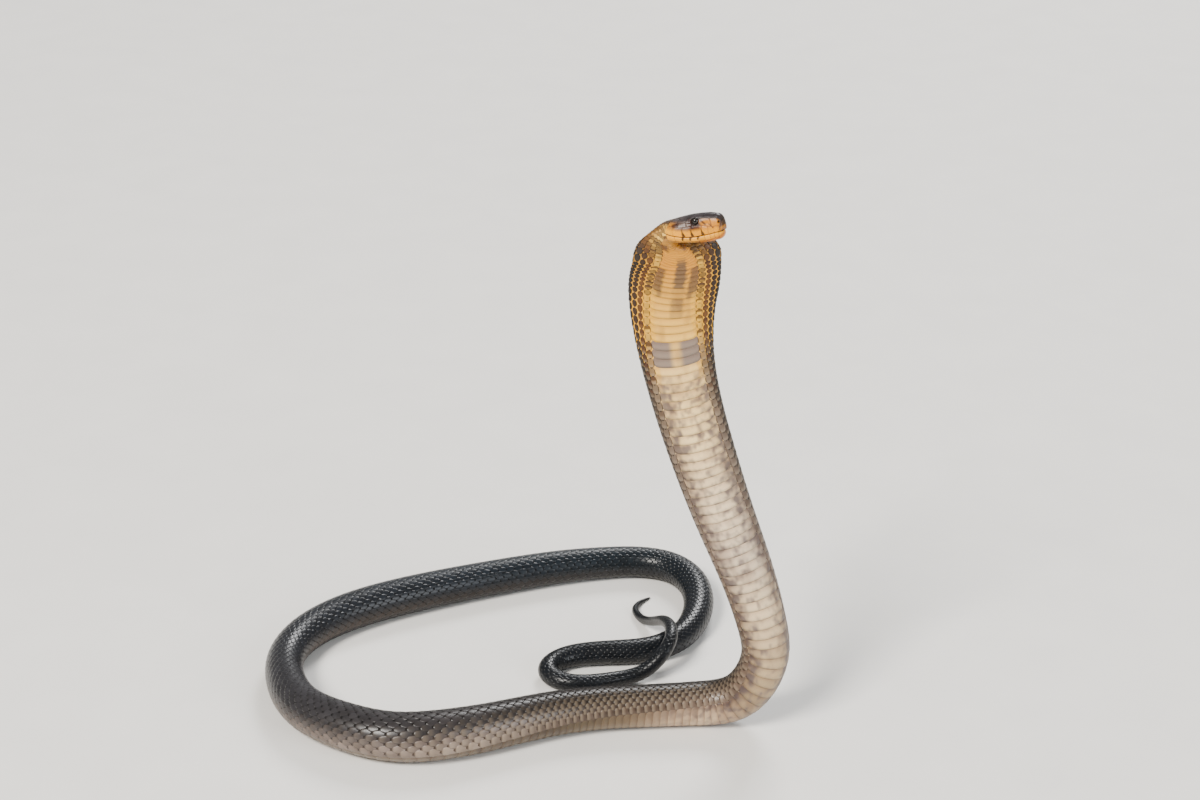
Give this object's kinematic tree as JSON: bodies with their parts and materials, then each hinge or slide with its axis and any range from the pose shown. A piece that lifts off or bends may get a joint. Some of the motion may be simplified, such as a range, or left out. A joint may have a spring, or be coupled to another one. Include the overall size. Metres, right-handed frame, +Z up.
{
  "type": "forest cobra",
  "caption": "Life-size still model of a forest cobra, forebody raised and hood spread, with the rest of the body looped on the ground.",
  "frame": {"origin": "on the ground, at the centre of the footprint", "axes": "+Z up, the belly side of the hood faces -Y, the head points to +X and a little to -Y"},
  "size_m": [0.4533, 0.3479, 0.4707],
  "materials": {
    "crown": "smooth head shields with a soft shine",
    "throat": "smooth, soft shine",
    "eye": "clear and glossy",
    "hood_skin": "satin scales and broad belly plates",
    "body_skin": "glossy overlapping scales"
  },
  "bodies": {
    "root": {"head": "crown", "lower_jaw": "throat", "eye_left": "eye", "eye_right": "eye", "neck": "hood_skin", "hood": "hood_skin", "forebody_upper": "hood_skin", "forebody_lower": "hood_skin", "bend": "hood_skin", "front_body_right": "body_skin", "front_body_middle": "body_skin", "front_body_left": "body_skin", "left_turn_front": "body_skin", "left_turn_back": "body_skin", "back_body_left": "body_skin", "back_body_middle": "body_skin", "back_body_right": "body_skin", "right_turn_back": "body_skin", "right_turn_front": "body_skin", "inner_body": "body_skin", "tail_base": "body_skin", "tail_turn": "body_skin", "tail_return": "body_skin", "tail_rise": "body_skin", "tail_fall": "body_skin", "tail_tip": "body_skin"}
  },
  "joints": []
}
